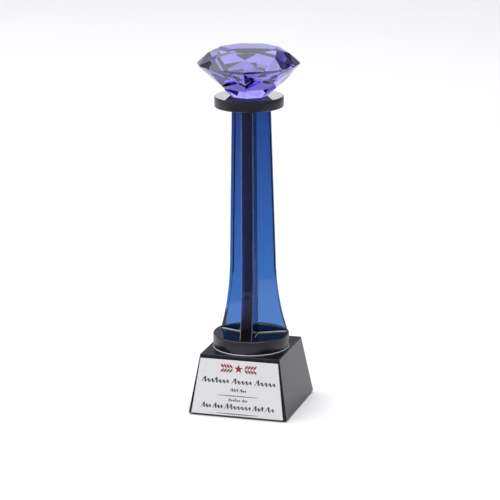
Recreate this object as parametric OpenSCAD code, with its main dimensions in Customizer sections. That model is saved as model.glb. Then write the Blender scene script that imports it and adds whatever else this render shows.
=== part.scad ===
// Column trophy: a cut crystal diamond on a three-wing glass column and a black glass base.
// Millimetres. +Z is up, -Y is the front (the side with the name plate).
// The origin is the centre of the underside.

/* [Base] */
// Side of the square base at the bottom
base_bottom_w = 82; // [80:0.5:96]
// Side of the square base at the top
base_top_w = 66; // [66:0.5:72]
// Height of the base block
base_h = 48.3; // [47:0.1:60]
// Polished chamfer along the edges of the base
base_chamfer = 0.5; // [0.4:0.1:0.8]
// Thickness of the felt under the base
felt_t = 1; // [0.8:0.1:2]
// How far the felt stays back from the edge of the base
felt_inset = 1.5; // [1:0.5:4]

/* [Name plate] */
// Width of the plate at its upper edge
plate_top_w = 64.5; // [56:0.5:65]
// Width of the plate at its lower edge
plate_bottom_w = 76.5; // [66:0.5:78]
// Height of the plate, measured along the sloping front
plate_h = 44.9; // [40:0.1:45.5]
// Distance from the lower edge of the base to the plate, along the slope
plate_lift = 0.8; // [0.8:0.1:1.4]
// Thickness of the metal plate
plate_t = 0.8; // [0.5:0.1:1.5]
// Thickness of the double-sided tape behind the plate
tape_t = 0.2; // [0.1:0.05:0.4]
// Thickness of the raised print on the plate
print_t = 0.1; // [0.05:0.05:0.2]

/* [Discs] */
// Diameter of the lower disc
foot_disc_d = 61.5; // [61.5:0.5:65]
// Thickness of the lower disc
foot_disc_h = 11.2; // [8:0.1:14]
// Diameter of the upper disc
head_disc_d = 55; // [50:1:60]
// Thickness of the upper disc
head_disc_h = 8.6; // [6:0.1:12]
// Polished chamfer on both edges of each disc
disc_chamfer = 0.5; // [0.3:0.1:0.5]

/* [Column] */
// Height of the three wings
wing_h = 185.7; // [160:0.1:220]
// Thickness of the glass of each wing
wing_t = 10; // [8:0.5:12]
// Reach of each wing from the axis, at the top
wing_top_r = 15.4; // [14:0.1:18]
// Reach of each wing from the axis, where the flare starts
wing_waist_r = 18.8; // [18.5:0.1:22]
// Reach of each wing from the axis, at the bottom
wing_foot_r = 28.2; // [26:0.1:28.4]
// Height over which each wing flares out to its foot
flare_h = 57; // [45:1:70]
// Polished chamfer along the outer edge of each wing
wing_chamfer = 0.7; // [0.3:0.1:1]
// Angle between the front wing and each side wing
wing_spread = 112; // [105:1:120]
// Turn of the column on its disc, from straight ahead towards +X
column_turn = 5; // [0:1:10]
// How far the column stands to the right of the centre of its discs
column_shift = 1.4; // [0:0.1:1.5]

/* [Diamond] */
// Diameter of the diamond across its girdle
gem_d = 81; // [70:1:90]
// Diameter of the table, from corner to corner
gem_table_d = 49.5; // [44:0.5:52]
// Height of the crown, from the girdle to the table
gem_crown_h = 11.2; // [9:0.1:13]
// Depth of the pavilion, from the girdle to the flat cut at the bottom
gem_pavilion_h = 25.4; // [20:0.1:27]
// Height of the thin band around the girdle
gem_girdle_h = 0.8; // [0.6:0.1:1.5]
// Slope of the eight pavilion mains
gem_pavilion_angle = 43.4; // [40:0.1:44]
// How far the star facets reach towards the girdle, as a share of the crown's width
gem_star_reach = 0.48; // [0.4:0.01:0.6]
// How far the lower half facets reach down, as a share of the pavilion's depth
gem_half_reach = 0.48; // [0.4:0.01:0.75]
// Turn of the diamond on its disc
gem_turn = 11; // [0:1:44]

/* [Glue] */
// Thickness of each cured adhesive film
glue_t = 0.15; // [0.1:0.05:0.3]

/* [Hidden] */
$fn = 96;
big = 200;

// Heights of the joints, from the bottom up
base_z = felt_t;
base_top_z = base_z + base_h;
foot_disc_z = base_top_z + glue_t;
foot_disc_top_z = foot_disc_z + foot_disc_h;
wing_z = foot_disc_top_z + glue_t;
wing_top_z = wing_z + wing_h;
head_disc_z = wing_top_z + glue_t;
head_disc_top_z = head_disc_z + head_disc_h;
gem_z = head_disc_top_z + glue_t;

// The sloping front of the base
front_tilt = atan((base_bottom_w - base_top_w) / 2 / base_h);

// The wings: directions seen from above, and the mitres where they meet at the axis
front_dir = -90 + column_turn;
right_dir = front_dir + wing_spread;
left_dir = front_dir - wing_spread;
front_mitre = wing_spread / 2;
rear_mitre = 180 - wing_spread;
hub_gap = glue_t / 2 / sin(front_mitre);

// How far each adhesive film stays back from the edge of its joint
glue_inset = 0.2;

// The flare: an arc tangent to the tapering outer edge, ending at the foot
taper = atan((wing_waist_r - wing_top_r) / (wing_h - flare_h));
flare_dr = wing_foot_r - wing_waist_r;
flare_out = flare_dr * cos(taper) - flare_h * sin(taper);
flare_arc_r = (flare_dr * flare_dr + flare_h * flare_h) / (2 * flare_out);
flare_cx = wing_waist_r + flare_arc_r * cos(taper);
flare_cz = flare_h + flare_arc_r * sin(taper);

// The diamond: slopes worked out from its heights and diameters
gem_r = gem_d / 2;
gem_table_r = gem_table_d / 2;
gem_girdle_z = gem_z + gem_pavilion_h;
gem_crown_z = gem_girdle_z + gem_girdle_h;
gem_table_z = gem_crown_z + gem_crown_h;
gem_kite_angle = atan(gem_crown_h / (gem_r - gem_table_r));
gem_corner_r = gem_r * cos(11.25);
gem_flat_r = gem_r - gem_pavilion_h / tan(gem_pavilion_angle);

// The point of each star facet, halfway between two kites
star_tip_r = gem_table_r + (gem_r - gem_table_r) * gem_star_reach;
star_tip_drop = (star_tip_r * cos(22.5) - gem_table_r) * tan(gem_kite_angle);
gem_star_angle = atan(star_tip_drop / (star_tip_r - gem_table_r * cos(22.5)));
gem_break_angle = atan((gem_crown_h - star_tip_drop) / (gem_corner_r - star_tip_r * cos(11.25)));

// The lowest point of each pair of lower halves, between two mains
half_tip_drop = gem_pavilion_h * gem_half_reach;
half_tip_r = (gem_r - half_tip_drop / tan(gem_pavilion_angle)) / cos(22.5);
gem_half_angle = atan(half_tip_drop / (gem_corner_r - half_tip_r * cos(11.25)));

// The print: for each row of bars, their lengths, the gap between them, their height,
// and the row's place as a share of the plate's height
BAR_ROWS = [
    [[21, 15, 17], 3, 2.2, 0.58],
    [[11], 0, 1.5, 0.43],
    [[9, 5], 1.2, 1.3, 0.26],
    [[12, 24, 15], 3, 2.2, 0.13]
];
RULE_ROWS = [0.36, 0.04];
rule_length = 34;
emblem_row = 0.85;

// Shared shapes ---------------------------------------------------------------

// A block with sloping sides, seen as the overlap of its two outlines
module pyramid_block(bottom_w, top_w, h, c) {
    intersection() {
        rotate([90, 0, 0]) slope_prism(bottom_w, top_w, h, c);
        rotate([90, 0, 90]) slope_prism(bottom_w, top_w, h, c);
        corner_cut(45, bottom_w, top_w, h, c);
        corner_cut(-45, bottom_w, top_w, h, c);
    }
}

// A long prism whose section is a trapezium with chamfered corners
module slope_prism(bottom_w, top_w, h, c) {
    step = (bottom_w - top_w) / 2 / h * c;
    linear_extrude(height = big, center = true)
        polygon([
            [-bottom_w / 2 + c, 0],
            [bottom_w / 2 - c, 0],
            [bottom_w / 2 - step, c],
            [top_w / 2 + step, h - c],
            [top_w / 2 - c, h],
            [-top_w / 2 + c, h],
            [-top_w / 2 - step, h - c],
            [-bottom_w / 2 + step, c]
        ]);
}

// The prism that takes the chamfers off two opposite corners of the block
module corner_cut(turn, bottom_w, top_w, h, c) {
    bottom_d = (bottom_w - c) * sqrt(2);
    top_d = (top_w - c) * sqrt(2);
    rotate([90, 0, turn])
        linear_extrude(height = big, center = true)
            polygon([
                [-bottom_d / 2, 0],
                [bottom_d / 2, 0],
                [top_d / 2, h],
                [-top_d / 2, h]
            ]);
}

// Moves a piece of the column to its place on the lower disc
module on_column(z) {
    translate([column_shift, 0, z])
        children();
}

// Places a flat piece on the sloping front: X across, Y up the slope, Z outwards
module on_front(out) {
    translate([0, -base_bottom_w / 2, base_z])
        rotate([90 - front_tilt, 0, 0])
            translate([0, 0, out])
                children();
}

// The plate's outline, on the sloping front
module plate_outline(inset) {
    slant = (plate_bottom_w - plate_top_w) / 2 / plate_h * inset;
    polygon([
        [-plate_bottom_w / 2 + inset + slant, plate_lift + inset],
        [plate_bottom_w / 2 - inset - slant, plate_lift + inset],
        [plate_top_w / 2 - inset + slant, plate_lift + plate_h - inset],
        [-plate_top_w / 2 + inset - slant, plate_lift + plate_h - inset]
    ]);
}

// A disc with a chamfer on both edges
module chamfered_disc(d, h) {
    c = disc_chamfer;
    rotate_extrude()
        polygon([
            [0, 0],
            [d / 2 - c, 0],
            [d / 2, c],
            [d / 2, h - c],
            [d / 2 - c, h],
            [0, h]
        ]);
}

// Side view of one wing: straight taper above, arc below
module wing_side() {
    difference() {
        polygon([
            [0, 0],
            [wing_foot_r, 0],
            [wing_waist_r, flare_h],
            [wing_top_r, wing_h],
            [0, wing_h]
        ]);
        translate([flare_cx, flare_cz]) circle(r = flare_arc_r, $fn = 720);
    }
}

// Plan of one wing along +X, with a mitre on each side of its inner end
module wing_plan(mitre_neg, mitre_pos, reach) {
    half = wing_t / 2;
    polygon([
        [hub_gap, 0],
        [hub_gap + half / tan(mitre_neg), -half],
        [reach, -half],
        [reach, half],
        [hub_gap + half / tan(mitre_pos), half]
    ]);
}

// Takes the chamfers off the outer edge of a wing along +X
module wing_edge_cuts() {
    c = wing_chamfer;
    half = wing_t / 2;
    for (side = [-1, 1]) {
        // The straight, tapering stretch
        translate([wing_waist_r - c, side * half, flare_h])
            rotate([0, -taper, 0])
                rotate([0, 0, side * 45])
                    translate([0, -2 * c, 0])
                        cube([4 * c, 4 * c, wing_h]);
        // The flared stretch
        translate([flare_cx, side * (half + c), flare_cz])
            rotate([side * 90, 0, 0])
                cylinder(r1 = flare_arc_r + 2 * c, r2 = flare_arc_r, h = 2 * c, $fn = 720);
    }
}

// One finished wing along +X
module wing(mitre_neg, mitre_pos) {
    difference() {
        intersection() {
            rotate([90, 0, 0])
                linear_extrude(height = wing_t, center = true)
                    wing_side();
            linear_extrude(height = wing_h)
                wing_plan(mitre_neg, mitre_pos, wing_foot_r + 1);
        }
        wing_edge_cuts();
    }
}

// Plan of the glue under or over the three wings
module wing_glue_plan(reach) {
    half = wing_t / 2 - glue_inset;
    for (dir = [front_dir, right_dir, left_dir])
        rotate(dir)
            translate([0, -half])
                square([reach - glue_inset, 2 * half]);
}

// Removes everything outside one ring of flat facets.
// Each facet passes the point at radius r and height z and slopes by tilt.
module facet_cuts(count, turn, tilt, r, z) {
    for (i = [0 : count - 1])
        rotate([0, 0, turn + i * 360 / count])
            translate([r, 0, z])
                rotate([0, tilt - 90, 0])
                    translate([0, -big / 2, -big / 2])
                        cube([big / 2, big, big]);
}

// A leaf shape with two pointed ends, along +X from the origin
module leaf(length, width) {
    r = (length * length / 4 + width * width / 4) / width;
    intersection() {
        translate([length / 2, r - width / 2]) circle(r = r);
        translate([length / 2, width / 2 - r]) circle(r = r);
    }
}

// A five-pointed star
module star(tip_r, notch_r) {
    polygon([
        for (i = [0 : 9])
            let (r = i % 2 == 0 ? tip_r : notch_r)
                [r * sin(i * 36), r * cos(i * 36)]
    ]);
}

// A sprig of paired leaves along +X
module sprig(count, step, leaf_l, leaf_w) {
    splay = 48;
    for (i = [0 : count - 1])
        for (side = [-1, 1])
            translate([i * step, side * leaf_w / 7])
                rotate(side * splay)
                    leaf(leaf_l, leaf_w);
}

// A rule that tapers to its ends and has a small diamond in its middle
module ornament_rule(length) {
    half_t = 0.18;
    knot = 0.7;
    polygon([
        [-length / 2, 0],
        [-knot, -half_t],
        [0, -knot],
        [knot, -half_t],
        [length / 2, 0],
        [knot, half_t],
        [0, knot],
        [-knot, half_t]
    ]);
}

// A row of slanting bars, one for each length given, spread about the middle
module bar_row(lengths, gap, height) {
    slant = height * 0.3;
    total = sum_of(lengths, len(lengths)) + gap * (len(lengths) - 1);
    for (i = [0 : len(lengths) - 1])
        translate([-total / 2 + sum_of(lengths, i) + gap * i, 0])
            polygon([
                [0, 0],
                [lengths[i] - slant, 0],
                [lengths[i], height],
                [slant, height]
            ]);
}

// Sum of the first n numbers of a list
function sum_of(list, n) = n == 0 ? 0 : list[n - 1] + sum_of(list, n - 1);

// Pieces, from the bottom up --------------------------------------------------

module felt_pad() {
    w = base_bottom_w - 2 * felt_inset - 2 * base_chamfer;
    color("dimgray")
        translate([-w / 2, -w / 2, 0])
            cube([w, w, felt_t]);
}

module base_block() {
    color([0.10, 0.10, 0.11])
        translate([0, 0, base_z])
            pyramid_block(base_bottom_w, base_top_w, base_h, base_chamfer);
}

module plate_tape() {
    color("white")
        on_front(0)
            linear_extrude(height = tape_t)
                plate_outline(1);
}

module name_plate() {
    color("gainsboro")
        on_front(tape_t)
            linear_extrude(height = plate_t)
                plate_outline(0);
}

// A star between two laurel sprigs
module plate_emblem() {
    color("firebrick")
        on_front(tape_t + plate_t)
            linear_extrude(height = print_t)
                translate([0, plate_lift + plate_h * emblem_row]) {
                    star(3.8, 1.6);
                    for (side = [0, 1])
                        mirror([side, 0])
                            translate([5, 0])
                                sprig(4, 2.4, 4.2, 1.5);
                }
}

// Two rules, and plain bars in place of the lines of text
module plate_print() {
    color([0.15, 0.15, 0.17])
        on_front(tape_t + plate_t)
            linear_extrude(height = print_t) {
                for (row = BAR_ROWS)
                    translate([0, plate_lift + plate_h * row[3]])
                        bar_row(row[0], row[1], row[2]);
                for (place = RULE_ROWS)
                    translate([0, plate_lift + plate_h * place])
                        ornament_rule(rule_length);
            }
}

module base_glue() {
    color("azure")
        translate([0, 0, base_top_z])
            cylinder(r = foot_disc_d / 2 - disc_chamfer - glue_inset, h = glue_t);
}

module foot_disc() {
    color([0.16, 0.16, 0.19])
        translate([0, 0, foot_disc_z])
            chamfered_disc(foot_disc_d, foot_disc_h);
}

module foot_glue() {
    color("azure")
        on_column(foot_disc_top_z)
            linear_extrude(height = glue_t)
                wing_glue_plan(wing_foot_r - wing_chamfer);
}

module front_wing() {
    color([0.20, 0.36, 0.66])
        on_column(wing_z)
            rotate([0, 0, front_dir])
                wing(front_mitre, front_mitre);
}

module left_wing() {
    color([0.20, 0.36, 0.66])
        on_column(wing_z)
            rotate([0, 0, left_dir])
                wing(rear_mitre, front_mitre);
}

module right_wing() {
    color([0.20, 0.36, 0.66])
        on_column(wing_z)
            rotate([0, 0, right_dir])
                wing(front_mitre, rear_mitre);
}

// Three films that join the wings along their mitres
module wing_seam_glue() {
    seams = [
        [front_dir + front_mitre, front_mitre],
        [front_dir - front_mitre, front_mitre],
        [front_dir + 180, rear_mitre]
    ];
    color("azure")
        on_column(wing_z)
            for (seam = seams) {
                reach = wing_t / 2 / sin(seam[1]);
                half_t = hub_gap * sin(seam[1]);
                rotate([0, 0, seam[0]])
                    translate([hub_gap, -half_t, 0])
                        cube([reach - glue_inset - hub_gap, 2 * half_t, wing_h]);
            }
}

module head_glue() {
    color("azure")
        on_column(wing_top_z)
            linear_extrude(height = glue_t)
                wing_glue_plan(wing_top_r - wing_chamfer);
}

module head_disc() {
    color([0.16, 0.16, 0.19])
        translate([0, 0, head_disc_z])
            chamfered_disc(head_disc_d, head_disc_h);
}

module diamond_glue() {
    color("azure")
        translate([0, 0, head_disc_top_z])
            cylinder(r = gem_flat_r - glue_inset, h = glue_t);
}

// A round blank, cut facet by facet
module diamond() {
    kite_turn = gem_turn + 22.5;
    color([0.60, 0.56, 0.86])
        difference() {
            translate([0, 0, gem_z])
                cylinder(r = gem_r, h = gem_table_z - gem_z);
            // Crown: kites, stars and upper breaks
            facet_cuts(8, kite_turn, gem_kite_angle, gem_table_r, gem_table_z);
            facet_cuts(8, gem_turn, gem_star_angle, gem_table_r * cos(22.5), gem_table_z);
            facet_cuts(16, gem_turn + 11.25, gem_break_angle, gem_corner_r, gem_crown_z);
            // Pavilion: mains and lower halves
            mirror([0, 0, 1]) {
                facet_cuts(8, kite_turn, gem_pavilion_angle, gem_r, -gem_girdle_z);
                facet_cuts(16, gem_turn + 11.25, gem_half_angle, gem_corner_r, -gem_girdle_z);
            }
        }
}

felt_pad();
base_block();
plate_tape();
name_plate();
plate_emblem();
plate_print();
base_glue();
foot_disc();
foot_glue();
front_wing();
left_wing();
right_wing();
wing_seam_glue();
head_glue();
head_disc();
diamond_glue();
diamond();
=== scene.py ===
"""Looks of the column trophy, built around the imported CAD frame. Everything is in metres."""

import math
import random

import bmesh
import bpy
from mathutils import Matrix, Vector


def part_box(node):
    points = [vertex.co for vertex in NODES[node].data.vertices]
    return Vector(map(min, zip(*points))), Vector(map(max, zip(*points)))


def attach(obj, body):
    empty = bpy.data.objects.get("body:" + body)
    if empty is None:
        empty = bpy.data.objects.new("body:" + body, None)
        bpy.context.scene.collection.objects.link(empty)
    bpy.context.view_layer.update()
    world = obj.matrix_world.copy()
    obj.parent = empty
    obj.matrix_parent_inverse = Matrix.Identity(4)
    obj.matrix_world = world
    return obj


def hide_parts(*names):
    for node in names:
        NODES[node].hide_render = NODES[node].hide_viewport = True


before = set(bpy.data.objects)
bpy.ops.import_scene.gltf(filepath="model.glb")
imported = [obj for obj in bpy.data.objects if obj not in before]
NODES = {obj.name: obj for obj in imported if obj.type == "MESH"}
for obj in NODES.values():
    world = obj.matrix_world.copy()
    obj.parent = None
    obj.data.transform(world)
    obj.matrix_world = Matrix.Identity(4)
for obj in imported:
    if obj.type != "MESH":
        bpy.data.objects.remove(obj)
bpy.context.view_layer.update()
SCENE = bpy.context.scene
MM = 0.001
AZIMUTH = math.radians(16.78)

# The wings' plan, as the CAD has it
FRONT_DIR = math.radians(-85)
SPREAD = math.radians(112)
COLUMN = Vector((1.4 * MM, 0, 0))
RIGHT_DIR = FRONT_DIR + SPREAD
LEFT_DIR = FRONT_DIR - SPREAD
WING_HALF = 5 * MM

# From this cosine up, a face counts as facing a direction
FACING = 0.98
WING_DIRS = {"front_wing": FRONT_DIR, "right_wing": RIGHT_DIR, "left_wing": LEFT_DIR}

FOOT_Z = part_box("foot_disc")[1].z
HEAD_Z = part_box("head_disc")[0].z
BASE_TOP_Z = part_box("base_block")[1].z


# Node helpers --------------------------------------------------------------------


class Tree:
    """A material's or world's node tree, with one short method per kind of node."""

    def __init__(self, owner):
        owner.use_nodes = True
        self.nodes = owner.node_tree.nodes
        self.links = owner.node_tree.links
        self.nodes.clear()

    def add(self, kind, **settings):
        node = self.nodes.new(kind)
        for name, value in settings.items():
            setattr(node, name, value)
        return node

    def put(self, socket, value):
        """Links a socket to the value if it is one, and sets it otherwise."""
        if isinstance(value, bpy.types.NodeSocket):
            self.links.new(value, socket)
        else:
            socket.default_value = value

    def math(self, operation, a, b=0.0, clamp=False):
        node = self.add("ShaderNodeMath", operation=operation, use_clamp=clamp)
        self.put(node.inputs[0], a)
        self.put(node.inputs[1], b)
        return node.outputs[0]

    def remap(self, value, low, high, to_low=0.0, to_high=1.0):
        node = self.add("ShaderNodeMapRange")
        for socket, v in zip(node.inputs, (value, low, high, to_low, to_high)):
            self.put(socket, v)
        return node.outputs[0]

    def mix(self, share, a, b):
        node = self.add("ShaderNodeMix", data_type="RGBA")
        self.put(node.inputs["Factor"], share)
        self.put(node.inputs[6], a)
        self.put(node.inputs[7], b)
        return node.outputs[2]

    def position(self):
        return self.add("ShaderNodeTexCoord").outputs["Object"]

    def split(self, vector):
        node = self.add("ShaderNodeSeparateXYZ")
        self.put(node.inputs[0], vector)
        return node.outputs

    def stretched(self, vector, scale, turn=(0, 0, 0)):
        node = self.add("ShaderNodeMapping")
        self.put(node.inputs["Vector"], vector)
        node.inputs["Scale"].default_value = scale
        node.inputs["Rotation"].default_value = turn
        return node.outputs[0]

    def noise(self, vector, scale, detail=3.0, roughness=0.5):
        node = self.add("ShaderNodeTexNoise")
        self.put(node.inputs["Vector"], vector)
        node.inputs["Scale"].default_value = scale
        node.inputs["Detail"].default_value = detail
        node.inputs["Roughness"].default_value = roughness
        return node.outputs["Fac"]

    def cells(self, vector, scale):
        node = self.add("ShaderNodeTexVoronoi", feature="F1")
        self.put(node.inputs["Vector"], vector)
        node.inputs["Scale"].default_value = scale
        return node.outputs

    def bump(self, height, distance, strength=1.0, under=None):
        node = self.add("ShaderNodeBump")
        node.inputs["Strength"].default_value = strength
        node.inputs["Distance"].default_value = distance
        self.put(node.inputs["Height"], height)
        if under is not None:
            self.put(node.inputs["Normal"], under)
        return node.outputs[0]

    def normal_dot(self, direction):
        """How far the surface faces a fixed direction of the object."""
        node = self.add("ShaderNodeVectorMath", operation="DOT_PRODUCT")
        self.put(node.inputs[0], self.add("ShaderNodeNewGeometry").outputs["True Normal"])
        node.inputs[1].default_value = direction
        return node.outputs["Value"]

    def surface(self, **values):
        """The Principled shader and the output, with spaces in socket names written as _."""
        shader = self.add("ShaderNodeBsdfPrincipled")
        for name, value in values.items():
            self.put(shader.inputs[name.replace("_", " ")], value)
        self.output = self.add("ShaderNodeOutputMaterial")
        self.links.new(shader.outputs[0], self.output.inputs["Surface"])
        return shader

    def absorb(self, colour, density):
        node = self.add("ShaderNodeVolumeAbsorption")
        node.inputs["Color"].default_value = (*colour, 1)
        node.inputs["Density"].default_value = density
        self.links.new(node.outputs[0], self.output.inputs["Volume"])


def material(name):
    made = bpy.data.materials.new(name)
    return made, Tree(made)


def grey(v):
    return (v, v, v, 1)


# Materials -----------------------------------------------------------------------


def handling_marks(t, where):
    """Faint wipe marks, finger smudges and hairline scratches: a roughness and a height."""
    smudge = t.noise(where, 55, 4, 0.6)
    wiped = t.noise(t.stretched(where, (260, 30, 60), (0.4, 0.2, 0.6)), 1, 3)
    hair = t.noise(t.stretched(where, (2600, 40, 90), (0.3, 0.8, 0.2)), 1, 2)
    scratch = t.remap(hair, 0.70, 0.74)
    smears = t.remap(smudge, 0.45, 0.75, 0.015, 0.075)
    rough = t.math("ADD", smears, t.remap(wiped, 0.5, 0.8, 0, 0.03))
    rough = t.math("ADD", rough, t.math("MULTIPLY", scratch, 0.05))
    return rough, scratch, smudge


def dust(t, where, scale, share):
    """Sparse small specks: 1 on a speck and 0 elsewhere."""
    cell = t.cells(where, scale)
    chosen = t.remap(t.split(cell["Color"])[0], 1 - share, 1 - share + 0.001)
    return t.math("MULTIPLY", chosen, t.remap(cell["Distance"], 0.10, 0.16, 1, 0))


def black_glass(name, tint, level=0.42, side_rough=0.0):
    """Polished black glass. The sides of a disc are a little less polished than its faces."""
    made, t = material(name)
    where = t.position()
    rough, scratch, smudge = handling_marks(t, where)
    if side_rough:
        upright = t.math("LESS_THAN", t.math("ABSOLUTE", t.normal_dot((0, 0, 1))), 0.3)
        streak = t.noise(t.stretched(where, (120, 120, 2400)), 1, 3)
        side = t.remap(streak, 0.2, 0.8, 0.8 * side_rough, 1.2 * side_rough)
        rough = t.math("ADD", rough, t.math("MULTIPLY", upright, side))
    speck = dust(t, where, 420, 0.05)
    deep = t.mix(smudge, (*[0.5 * c for c in tint], 1), (*[1.3 * c for c in tint], 1))
    colour = t.mix(t.math("MULTIPLY", speck, 0.5), deep, grey(0.16))
    ripple = t.bump(t.noise(where, 28, 2), 0.00004, 0.35)
    t.surface(
        Base_Color=colour,
        Roughness=t.math("ADD", rough, t.math("MULTIPLY", speck, 0.4)),
        IOR=1.5,
        Specular_IOR_Level=level,
        Normal=t.bump(scratch, 0.000002, 0.3, ripple),
    )
    return made


def blue_glass(name, along, mitres):
    """Clear blue glass, darker upwards, with ground chamfers and dark glued faces; the glued
    bottom faces are painted navy light.
    """
    made, t = material(name)
    where = t.position()
    height = t.remap(t.split(where)[2], FOOT_Z, HEAD_Z)
    cloud = t.noise(where, 35, 3)
    ramp = t.add("ShaderNodeValToRGB")
    t.put(ramp.inputs[0], t.math("ADD", height, t.remap(cloud, 0.2, 0.8, -0.02, 0.02)))
    stops = ((0.0, (0.25, 0.52, 0.70)), (0.45, (0.16, 0.34, 0.55)), (1.0, (0.06, 0.14, 0.33)))
    while len(ramp.color_ramp.elements) < len(stops):
        ramp.color_ramp.elements.new(0.5)
    for element, (place, colour) in zip(ramp.color_ramp.elements, stops):
        element.position = place
        element.color = (*colour, 1)
    under = t.math("GREATER_THAN", t.normal_dot((0, 0, -1)), FACING)
    bonded = t.math("MAXIMUM", under, t.math("GREATER_THAN", t.normal_dot((0, 0, 1)), FACING))
    for mitre in mitres:
        bonded = t.math("MAXIMUM", bonded, t.math("GREATER_THAN", t.normal_dot(mitre), FACING))
    flank = t.math("ABSOLUTE", t.normal_dot((-along.y, along.x, 0)))
    slanted = t.math("GREATER_THAN", flank, 0.35)
    ground = t.math("MULTIPLY", slanted, t.math("LESS_THAN", flank, 0.95))
    ground = t.math("MULTIPLY", ground, t.math("GREATER_THAN", t.normal_dot(along), 0.2))
    rough, _, _ = handling_marks(t, where)
    clear_rough = t.math("MULTIPLY", rough, 0.25)
    clear_rough = t.math("MAXIMUM", clear_rough, t.math("MULTIPLY", ground, 0.15))
    grit = t.mix(t.noise(where, 2500, 2), (0.36, 0.46, 0.70, 1), (0.46, 0.56, 0.78, 1))
    body = t.mix(ground, ramp.outputs[0], grit)
    # Glued faces are dark. The glued bottom faces get a lighter navy: painted light standing in
    # for blue light scattered in the foot joint.
    joint = t.mix(under, (0.014, 0.011, 0.036, 1), (0.08, 0.08, 0.40, 1))
    unbonded = t.math("SUBTRACT", 1.0, bonded)
    t.surface(
        Base_Color=t.mix(bonded, body, joint),
        Roughness=t.math("MAXIMUM", clear_rough, t.math("MULTIPLY", bonded, 0.6)),
        IOR=1.5,
        Transmission_Weight=t.math("SUBTRACT", unbonded, t.math("MULTIPLY", ground, 0.15)),
        Normal=t.bump(t.noise(where, 60, 2), 0.00002, 0.3),
    )
    t.absorb((0.0, 0.4, 0.8), 190)
    return made


def violet_crystal(name):
    made, t = material(name)
    where = t.position()
    rough, _, _ = handling_marks(t, where)
    bonded = t.math("GREATER_THAN", t.normal_dot((0, 0, -1)), FACING)
    tint = t.mix(t.noise(where, 45, 3), (0.53, 0.53, 0.84, 1), (0.59, 0.59, 0.89, 1))
    clear_rough = t.math("MULTIPLY", rough, 0.12)
    t.surface(
        Base_Color=t.mix(bonded, tint, (0.010, 0.008, 0.03, 1)),
        Roughness=t.math("MAXIMUM", clear_rough, t.math("MULTIPLY", bonded, 0.6)),
        IOR=1.65,
        Transmission_Weight=t.math("SUBTRACT", 1.0, bonded),
        Normal=t.bump(t.noise(where, 90, 2), 0.00001, 0.2),
    )
    t.absorb((0.15, 0.0, 0.80), 16)
    return made


def plate_metal(name):
    """White silver print plate: a fine brushed grain along its width under a satin coat."""
    made, t = material(name)
    where = t.position()
    grain = t.noise(t.stretched(where, (90, 4200, 4200)), 1, 4, 0.7)
    cloud = t.noise(where, 40, 3)
    speck = dust(t, where, 500, 0.03)
    colour = t.mix(cloud, (0.70, 0.70, 0.71, 1), (0.76, 0.76, 0.77, 1))
    colour = t.mix(t.math("MULTIPLY", t.remap(grain, 0.35, 0.65), 0.10), colour, grey(0.70))
    colour = t.mix(t.math("MULTIPLY", speck, 0.4), colour, grey(0.35))
    t.surface(
        Base_Color=colour,
        Metallic=0.1,
        Roughness=t.remap(grain, 0.2, 0.8, 0.28, 0.46),
        Normal=t.bump(grain, 0.00001, 0.35),
    )
    return made


def ink(name, low, high):
    made, t = material(name)
    where = t.position()
    cover = t.noise(where, 1400, 4, 0.7)
    t.surface(
        Base_Color=t.mix(t.remap(cover, 0.3, 0.7), (*low, 1), (*high, 1)),
        Roughness=t.remap(cover, 0.3, 0.7, 0.38, 0.6),
        Normal=t.bump(cover, 0.00001, 0.4),
    )
    return made


def adhesive(name, clear):
    """Cured adhesive: clear or milky, with tiny bubbles."""
    made, t = material(name)
    where = t.position()
    bubble = dust(t, where, 900, 0.3)
    milky = t.noise(where, 300, 3)
    rough = t.remap(milky, 0.3, 0.7, 0.05, 0.14)
    t.surface(
        Base_Color=t.mix(t.remap(milky, 0.3, 0.7), (0.78, 0.82, 0.90, 1), (0.90, 0.93, 0.97, 1)),
        Roughness=t.math("ADD", rough, t.math("MULTIPLY", bubble, 0.3)),
        IOR=1.49,
        Transmission_Weight=clear,
        Normal=t.bump(milky, 0.00003, 0.5),
    )
    return made


def foam_tape(name):
    made, t = material(name)
    where = t.position()
    pores = t.cells(where, 3500)["Distance"]
    # Darker at the pores' centres, where the bump is lowest: painted shade in their hollows.
    t.surface(
        Base_Color=t.mix(t.remap(pores, 0.1, 0.6), (0.55, 0.55, 0.53, 1), (0.82, 0.82, 0.80, 1)),
        Roughness=t.remap(pores, 0.1, 0.6, 0.95, 0.8),
        Normal=t.bump(pores, 0.0001, 0.5),
    )
    return made


def pressed_felt(name):
    made, t = material(name)
    where = t.position()
    fibre = t.noise(t.stretched(where, (1800, 500, 900), (0.3, 0.7, 1.1)), 1, 5, 0.75)
    tuft = t.noise(where, 900, 4, 0.7)
    both = t.math("MULTIPLY", fibre, tuft)
    dark, light = (0.006, 0.006, 0.007, 1), (0.045, 0.045, 0.05, 1)
    t.surface(
        Base_Color=t.mix(t.remap(both, 0.12, 0.4), dark, light),
        Roughness=t.remap(fibre, 0.3, 0.7, 0.98, 0.86),
        Sheen_Weight=0.5,
        Sheen_Roughness=0.5,
        Normal=t.bump(both, 0.0003, 0.8),
    )
    return made


# Meshes --------------------------------------------------------------------------


def mesh_piece(name, builder, finish, slot, *stands_for):
    """Makes one piece from a bmesh, rides it on the root, and hides the CAD parts it stands for.
    """
    mesh = bpy.data.meshes.new(name)
    shape = bmesh.new()
    builder(shape)
    bmesh.ops.recalc_face_normals(shape, faces=shape.faces)
    shape.to_mesh(mesh)
    shape.free()
    mesh.materials.append(finish)
    piece = bpy.data.objects.new(name, mesh)
    SCENE.collection.objects.link(piece)
    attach(piece, "root")
    if stands_for:
        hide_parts(*stands_for)
    return piece


def smooth(piece, angle=35):
    """Shades faces smooth, except across edges sharper than the angle."""
    for face in piece.data.polygons:
        face.use_smooth = True
    piece.data.set_sharp_from_angle(angle=math.radians(angle))


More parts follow.
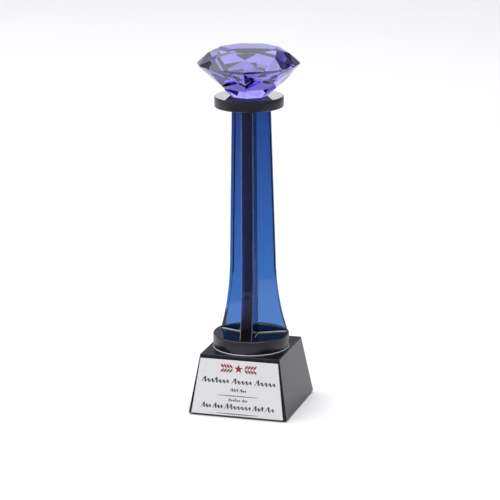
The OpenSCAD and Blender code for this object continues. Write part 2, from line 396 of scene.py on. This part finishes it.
def loop_tube(shape, rings):
    """Joins rings of points into a closed tube that runs round on itself."""
    rows = [[shape.verts.new(p) for p in ring] for ring in rings]
    around = len(rows[0])
    for i, row in enumerate(rows):
        following = rows[(i + 1) % len(rows)]
        for k in range(around):
            j = (k + 1) % around
            shape.faces.new((row[k], row[j], following[j], following[k]))


def open_tube(shape, rings):
    """Joins rings of points into a tube with flat ends."""
    rows = [[shape.verts.new(p) for p in ring] for ring in rings]
    around = len(rows[0])
    for row, following in zip(rows, rows[1:]):
        for k in range(around):
            j = (k + 1) % around
            shape.faces.new((row[k], row[j], following[j], following[k]))
    shape.faces.new(rows[0])
    shape.faces.new(rows[-1])


def fillet_section(size, steps=5):
    """A fillet in the corner at the origin, between +x and +y, as points round its outline."""
    points = [(0.0, 0.0)]
    for i in range(steps + 1):
        a = math.pi / 2 * i / steps
        points.append((size * (1 - math.sin(a)), size * (1 - math.cos(a))))
    return points


def wobble(i, count, depth, seed):
    """A smooth closed variation round a bead, from 1 - depth to 1 + depth."""
    a = 2 * math.pi * i / count
    return 1 + depth * (0.6 * math.sin(3 * a + seed) + 0.4 * math.sin(11 * a + 2.3 * seed))


def ring_bead(shape, radius, z, size, up, count=160, seed=1.0):
    """A fillet of adhesive round a circle, on the plane at z."""
    rings = []
    for i in range(count):
        a = 2 * math.pi * i / count
        s = size * wobble(i, count, 0.12, seed)
        section = fillet_section(s)
        rings.append([
            ((radius + x) * math.cos(a), (radius + x) * math.sin(a), z + up * y)
            for x, y in section
        ])
    loop_tube(shape, rings)


# Camera --------------------------------------------------------------------------


def make_camera():
    """The photograph's viewpoint: in front, 17 degrees to the right, looking down 15."""
    azimuth = AZIMUTH
    distance, height = 1.80543, 0.61137
    pitch = math.radians(14.96)
    roll = math.radians(-0.515)
    data = bpy.data.cameras.new("photo_camera")
    data.lens = 167.6
    data.sensor_width = 36
    data.shift_x = -0.0008
    data.clip_start = 0.05
    data.clip_end = 60
    camera = bpy.data.objects.new("photo_camera", data)
    SCENE.collection.objects.link(camera)
    camera.location = (distance * math.sin(azimuth), -distance * math.cos(azimuth), height)
    ahead = Vector((
        -math.sin(azimuth) * math.cos(pitch), math.cos(azimuth) * math.cos(pitch), -math.sin(pitch)
    ))
    turn = ahead.to_track_quat("-Z", "Y").to_matrix() @ Matrix.Rotation(roll, 3, "Z")
    camera.rotation_mode = "QUATERNION"
    camera.rotation_quaternion = turn.to_quaternion()
    SCENE.camera = camera


# Adhesive ------------------------------------------------------------------------


def direction(angle):
    return Vector((math.cos(angle), math.sin(angle), 0))


def wing_reach(node, z):
    """How far a wing reaches from the axis at a height where its mesh has points."""
    along = direction(WING_DIRS[node])
    near = [v.co - COLUMN for v in NODES[node].data.vertices if abs(v.co.z - z) < 0.01 * MM]
    return max(Vector((p.x, p.y, 0)).dot(along) for p in near)


def corner_between(a, following, half):
    """Where the sides of two neighbouring wings meet, seen from above."""
    between = (following - a) % (2 * math.pi) / 2
    return COLUMN + direction(a + between) * (half / math.sin(between))


def column_outline(z, grow):
    """The outline of the three wings' footprint at z, moved outwards by grow, anticlockwise."""
    order = ["front_wing", "right_wing", "left_wing"]
    points = []
    for i, node in enumerate(order):
        a = WING_DIRS[node]
        along, side = direction(a), direction(a + math.pi / 2)
        reach = wing_reach(node, z) + grow
        half = WING_HALF + grow
        points.append(COLUMN + along * reach - side * half)
        points.append(COLUMN + along * reach + side * half)
        points.append(corner_between(a, WING_DIRS[order[(i + 1) % 3]], half))
    return points


def outline_bead(shape, z, size, up, seed):
    """A fine fillet of adhesive all round the wings, on the plane at z."""
    section = fillet_section(size)
    steps = 14
    layers = [column_outline(z, x) for x, _ in section]
    rings = []
    corners = len(layers[0])
    count = corners * steps
    for i in range(corners):
        j = (i + 1) % corners
        for k in range(steps):
            share = k / steps
            s = wobble(i * steps + k, count, 0.15, seed)
            base = layers[0][i].lerp(layers[0][j], share)
            ring = []
            for layer, (x, y) in zip(layers, section):
                p = layer[i].lerp(layer[j], share)
                p = base + (p - base) * s
                ring.append((p.x, p.y, z + up * y * s))
            rings.append(ring)
    loop_tube(shape, rings)


def straight_bead(shape, start, end, out, wide, tall, seed):
    """A thicker fillet of squeezed-out adhesive from start to end, on the side that out says."""
    steps = 40
    section = fillet_section(1.0)
    rings = []
    for i in range(steps + 1):
        share = i / steps
        s = min(1.0, 12 * share + 0.2, 12 * (1 - share) + 0.2)
        s *= 1 + 0.06 * math.sin(17 * share + seed) + 0.04 * math.sin(41 * share + 2 * seed)
        p = start.lerp(end, share)
        rings.append([
            (p.x + out.x * wide * s * x, p.y + out.y * wide * s * x, p.z + tall * s * y)
            for x, y in section
        ])
    open_tube(shape, rings)


def foot_beads(shape):
    """Beads along the front of the side wings, and a short one beside the front wing."""
    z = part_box("front_wing")[0].z
    front = WING_DIRS["front_wing"]
    for node, side in (("left_wing", 1), ("right_wing", -1)):
        a = WING_DIRS[node]
        out = direction(a + side * math.pi / 2)
        hub = corner_between(*((front, a) if side < 0 else (a, front)), WING_HALF)
        toe = COLUMN + direction(a) * (wing_reach(node, z) - 1.2 * MM) + out * WING_HALF
        hub, toe = (Vector((p.x, p.y, z)) for p in (hub, toe))
        straight_bead(shape, hub, toe, out, 0.28 * MM, 0.8 * MM, 3 + side)
    out = direction(front + math.pi / 2)
    hub = corner_between(front, WING_DIRS["right_wing"], WING_HALF)
    end = hub + direction(front) * 13 * MM
    hub, end = (Vector((p.x, p.y, z)) for p in (hub, end))
    straight_bead(shape, hub, end, out, 0.25 * MM, 0.4 * MM, 5)


def squeezed_ring(shape, inner, outer, z, tall, count=180, seed=1.0):
    """A rounded ring of adhesive squeezed out from under a disc."""
    rings = []
    for i in range(count):
        a = 2 * math.pi * i / count
        s = wobble(i, count, 0.06, seed)
        section = [(inner, 0), (outer, 0), (outer + 0.26 * MM * s, 0.25 * tall * s)]
        section += [(outer + 0.16 * MM * s, 0.75 * tall * s), (outer - 0.2 * MM, tall * s)]
        section += [(inner, tall * s)]
        rings.append([(x * math.cos(a), x * math.sin(a), z + y) for x, y in section])
    loop_tube(shape, rings)


def make_adhesive():
    """The squeezed-out beads round the thin films that the CAD has in each joint."""
    clear = adhesive("cured_adhesive_clear", 0.75)
    milky = adhesive("cured_adhesive_milky", 0.25)
    for film in ("base_glue", "foot_glue", "wing_seam_glue", "head_glue", "diamond_glue"):
        finish_node(film, clear)
    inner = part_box("base_glue")[1].x + 0.1 * MM
    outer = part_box("foot_disc")[1].x

    def base_bead(shape):
        squeezed_ring(shape, inner, outer, BASE_TOP_Z, 0.75 * MM, seed=0.7)

    def head_bead(shape):
        outline_bead(shape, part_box("front_wing")[1].z, 0.2 * MM, -1, 2.1)

    def gem_bead(shape):
        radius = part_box("diamond_glue")[1].x + 0.25 * MM
        ring_bead(shape, radius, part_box("head_disc")[1].z, 0.5 * MM, 1, 96, 0.2)

    smooth(mesh_piece("base_glue_bead", base_bead, milky, "clear_adhesive"), 60)
    smooth(mesh_piece("foot_glue_bead", foot_beads, milky, "clear_adhesive"))
    smooth(mesh_piece("head_glue_bead", head_bead, clear, "clear_adhesive"))
    smooth(mesh_piece("diamond_glue_bead", gem_bead, clear, "clear_adhesive"))


# Name plate print ----------------------------------------------------------------


def plate_frame():
    """Origin, across, up and out of the name plate's front, from its largest front face."""
    faces = [f for f in NODES["name_plate"].data.polygons if f.normal.y < -0.9]
    out = max(faces, key=lambda f: f.area).normal.copy()
    across = Vector((1, 0, 0))
    up = out.cross(across).normalized()
    points = [NODES["name_plate"].data.vertices[i].co for f in faces for i in f.vertices]
    front = max(p.dot(out) for p in points)
    lowest = min((p for p in points if p.dot(out) > front - 0.01 * MM), key=lambda p: p.dot(up))
    origin = Vector((0, lowest.y, lowest.z))
    height = max(p.dot(up) for p in points) - lowest.dot(up)
    return origin, across, up, out, height


def ribbon(shape, path, widths, place, thick):
    """A flat stroke of varying width along a path of (x, y), laid on the plate."""
    rings = []
    for i, (x, y) in enumerate(path):
        before = path[max(i - 1, 0)]
        after = path[min(i + 1, len(path) - 1)]
        run = Vector((after[0] - before[0], after[1] - before[1]))
        run = run.normalized() if run.length > 0 else Vector((1, 0))
        side = Vector((-run.y, run.x)) * widths[i] / 2
        rings.append([
            place(x - side.x, y - side.y, 0),
            place(x + side.x, y + side.y, 0),
            place(x + side.x, y + side.y, thick),
            place(x - side.x, y - side.y, thick),
        ])
    open_tube(shape, rings)


def script_word(shape, rng, x, y, length, height, place, thick):
    """A wavy pen line that fills a word's place without being made of letters."""
    waves = max(2, round(length / (0.80 * height)))
    pitch = length / waves
    slant = 0.30
    path, widths = [], []
    steps = 10
    for n in range(waves):
        tall = rng.choice((0.62, 0.68, 0.64, 1.0, 0.66)) if n else 1.05
        for k in range(steps):
            s = k / steps
            up = (1 - math.cos(2 * math.pi * s)) / 2 * height * tall
            path.append((x + (n + s) * pitch + slant * up, y + up))
            widths.append(height * (0.13 + 0.24 * max(0.0, math.sin(2 * math.pi * (s - 0.45)))))
    path.append((x + length, y))
    widths.append(height * 0.05)
    ribbon(shape, path, widths, place, thick)


def script_row(shape, rng, words, y, height, gap, place, thick):
    """A row of wavy words, centred on the plate."""
    x = -(sum(words) + gap * (len(words) - 1)) / 2
    for length in words:
        script_word(shape, rng, x, y, length, height, place, thick)
        x += length + gap


def rule(shape, length, y, place, thick):
    """A thin rule that swells towards a small diamond in its middle."""
    half = length / 2
    for side in (-1, 1):
        path = [(side * (1.0 + (half - 1.0) * i / 8), y) for i in range(9)]
        widths = [0.50 * (1 - i / 8) ** 0.7 + 0.22 for i in range(9)]
        ribbon(shape, path, widths, place, thick)
    ribbon(shape, [(-0.75, y), (0, y), (0.75, y)], [0.05, 1.4, 0.05], place, thick)


def make_print(finish):
    origin, across, up, out, height = plate_frame()
    top = height / MM

    def place(x, y, z):
        return origin + (across * x + up * y + out * z) * MM

    def build(shape):
        rng = random.Random(7)
        thick = 0.05
        script_row(shape, rng, [22.5, 16.5, 17], 0.58 * top, 4.1, 2.6, place, thick)
        script_row(shape, rng, [6.6, 5.4], 0.435 * top, 2.5, 1.3, place, thick)
        rule(shape, 34, 0.36 * top, place, thick)
        script_row(shape, rng, [10, 4.6], 0.262 * top, 2.2, 1.4, place, thick)
        script_row(shape, rng, [8, 8, 22, 8.5, 7.5], 0.120 * top, 3.9, 1.7, place, thick)
        rule(shape, 34, 0.035 * top, place, thick)

    mesh_piece("plate_script", build, finish, "print_black", "plate_print")


# Felt ----------------------------------------------------------------------------


def make_felt(finish):
    """The felt under the base: a thin pad with soft, slightly uneven edges."""
    low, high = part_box("felt_pad")

    def build(shape):
        cells = 48
        rng = random.Random(3)
        rows = []
        for j in range(cells + 1):
            row = []
            for i in range(cells + 1):
                x = low.x + (high.x - low.x) * i / cells
                y = low.y + (high.y - low.y) * j / cells
                edge = min(i, j, cells - i, cells - j)
                pull = 0.25 * MM * rng.random() if edge == 0 else 0.0
                x -= math.copysign(pull, x)
                y -= math.copysign(pull, y)
                drop = 0.25 * MM if edge == 0 else 0.04 * MM * rng.random()
                row.append((x, y, drop))
            rows.append(row)
        top = [[shape.verts.new((x, y, high.z - d)) for x, y, d in row] for row in rows]
        bottom = [[shape.verts.new((x, y, low.z + d)) for x, y, d in row] for row in rows]
        for sheet in (top, bottom):
            for a, b in zip(sheet, sheet[1:]):
                for i in range(cells):
                    shape.faces.new((a[i], a[i + 1], b[i + 1], b[i]))
        rim = [(0, i) for i in range(cells)] + [(j, cells) for j in range(cells)]
        rim += [(cells, cells - i) for i in range(cells)] + [(cells - j, 0) for j in range(cells)]
        for (a, b), (c, d) in zip(rim, rim[1:] + rim[:1]):
            shape.faces.new((top[a][b], top[c][d], bottom[c][d], bottom[a][b]))

    felt = mesh_piece("felt_sheet", build, finish, "felt", "felt_pad")
    smooth(felt, 60)


# CAD nodes -----------------------------------------------------------------------


def finish_node(name, finish, bevel=0.0):
    """Gives a CAD node its material and, where its edges are ground, a fine rounding."""
    node = NODES[name]
    for slot in node.material_slots:
        slot.material = finish
    if bevel:
        weld = node.modifiers.new("weld", "WELD")
        weld.merge_threshold = 0.001 * MM
        edge = node.modifiers.new("edge", "BEVEL")
        edge.width = bevel
        edge.segments = 2
        edge.limit_method = "ANGLE"
        edge.angle_limit = math.radians(25)
        edge.harden_normals = True


def mitre_normals(wing):
    """The outward normals of a wing's two mitre faces."""
    a = WING_DIRS[wing]
    normals = []
    for other in WING_DIRS.values():
        apart = (other - a + math.pi) % (2 * math.pi) - math.pi
        if abs(apart) > 0.01:
            normals.append(direction(a + apart / 2 + math.copysign(math.pi / 2, apart)))
    return normals


# Studio --------------------------------------------------------------------------


def plain(name, colour, roughness):
    made, t = material(name)
    where = t.position()
    mottle = t.noise(where, 6, 4)
    t.surface(
        Base_Color=t.mix(mottle, (*[c * 0.985 for c in colour], 1), (*colour, 1)),
        Roughness=roughness,
    )
    return made


def make_floor():
    mesh = bpy.data.meshes.new("floor")
    half = 8.0
    corners = [(-half, -half, 0), (half, -half, 0), (half, half, 0), (-half, half, 0)]
    mesh.from_pydata(corners, [], [(0, 1, 2, 3)])
    mesh.materials.append(plain("floor_paper", (0.90, 0.90, 0.90), 0.9))
    floor = bpy.data.objects.new("floor", mesh)
    SCENE.collection.objects.link(floor)


def soft_box(name, place, towards, width, height, power, glossy_only=False):
    data = bpy.data.lights.new(name, "AREA")
    data.shape = "RECTANGLE"
    data.size = width
    data.size_y = height
    data.energy = power
    lamp = bpy.data.objects.new(name, data)
    SCENE.collection.objects.link(lamp)
    lamp.location = place
    lamp.rotation_mode = "QUATERNION"
    lamp.rotation_quaternion = (Vector(towards) - Vector(place)).to_track_quat("-Z", "Y")
    lamp.visible_camera = False
    if glossy_only:
        lamp.visible_diffuse = False
        lamp.visible_transmission = False


def behind(distance, z):
    """A point straight behind the trophy, seen from the camera."""
    return (-distance * math.sin(AZIMUTH), distance * math.cos(AZIMUTH), z)


def make_flag():
    """A dark cloth in front of and left of the trophy, seen only in its polished faces.

    The outline is in metres ahead of the axis, towards the camera, and across to the right.
    """
    mesh = bpy.data.meshes.new("flag")
    across = Vector((math.cos(AZIMUTH), math.sin(AZIMUTH), 0))
    ahead = Vector((math.sin(AZIMUTH), -math.cos(AZIMUTH), 0))
    up = Vector((0, 0, 4 * MM))
    outline = ((0.34, 0.9), (0.34, -0.27), (0.06, -0.27), (0.22, -1.2), (1.6, -1.2), (1.6, 0.9))
    corners = [ahead * d + across * w + up for d, w in outline]
    mesh.from_pydata(corners, [], [(0, 1, 5), (1, 4, 5), (1, 2, 3, 4)])
    mesh.materials.append(plain("flag_cloth", (0.24, 0.235, 0.25), 0.9))
    flag = bpy.data.objects.new("flag", mesh)
    SCENE.collection.objects.link(flag)
    for kind in ("camera", "diffuse", "transmission", "shadow"):
        setattr(flag, "visible_" + kind, False)


def make_world():
    """A soft studio: brightest on the left, and brighter low down than above, all round."""
    world = bpy.data.worlds.new("studio")
    SCENE.world = world
    t = Tree(world)
    x, y, z = t.split(t.add("ShaderNodeTexCoord").outputs["Generated"])
    dim = t.mix(t.remap(z, 0.33, 0.45), (0.34, 0.34, 0.38, 1), (0.16, 0.16, 0.18, 1))
    wall = t.mix(t.remap(z, 0.19, 0.27), (0.50, 0.50, 0.56, 1), dim)
    left = t.mix(t.remap(z, 0.33, 0.45), (0.92, 0.95, 1.00, 1), (0.40, 0.40, 0.42, 1))
    wall = t.mix(t.remap(x, -0.75, -0.35, 1, 0), wall, left)
    front = t.mix(t.remap(z, 0.08, 0.22), (0.64, 0.64, 0.65, 1), (0.14, 0.14, 0.15, 1))
    back = t.add("ShaderNodeBackground")
    t.put(back.inputs["Color"], t.mix(t.remap(y, -0.7, 0.6), front, wall))
    back.inputs["Strength"].default_value = 1.0
    out = t.add("ShaderNodeOutputWorld")
    t.links.new(back.outputs[0], out.inputs["Surface"])


# The scene -----------------------------------------------------------------------

make_camera()

base_glass = black_glass("base_black_glass", (0.009, 0.008, 0.015), 0.25)
disc_glass = black_glass("disc_black_glass", (0.008, 0.008, 0.015), side_rough=0.3)
finish_node("base_block", base_glass, 0.12 * MM)
finish_node("foot_disc", disc_glass, 0.10 * MM)
finish_node("head_disc", disc_glass, 0.10 * MM)
for wing in WING_DIRS:
    finish_node(wing, blue_glass(wing + "_glass", direction(WING_DIRS[wing]), mitre_normals(wing)))
finish_node("diamond", violet_crystal("violet_crystal_cut"))
finish_node("name_plate", plate_metal("plate_white_silver"), 0.08 * MM)
finish_node("plate_tape", foam_tape("foam_tape"))
finish_node("plate_emblem", ink("ink_red", (0.20, 0.010, 0.018), (0.33, 0.02, 0.03)))
make_adhesive()
make_print(ink("ink_black", (0.02, 0.02, 0.025), (0.06, 0.06, 0.07)))
make_felt(pressed_felt("pressed_felt_black"))

make_floor()
make_world()
make_flag()
soft_box("top_box", (-0.4, -0.9, 2.3), (-0.4, -0.9, 0), 4.0, 4.0, 118)
soft_box("floor_wash", behind(2.6, 2.2), behind(2.6, 0), 3.0, 2.4, 32)
soft_box("rim_card", behind(0.8, 0.402), behind(0, 0.255), 1.8, 0.045, 0.36, glossy_only=True)

SCENE.view_settings.view_transform = "Standard"
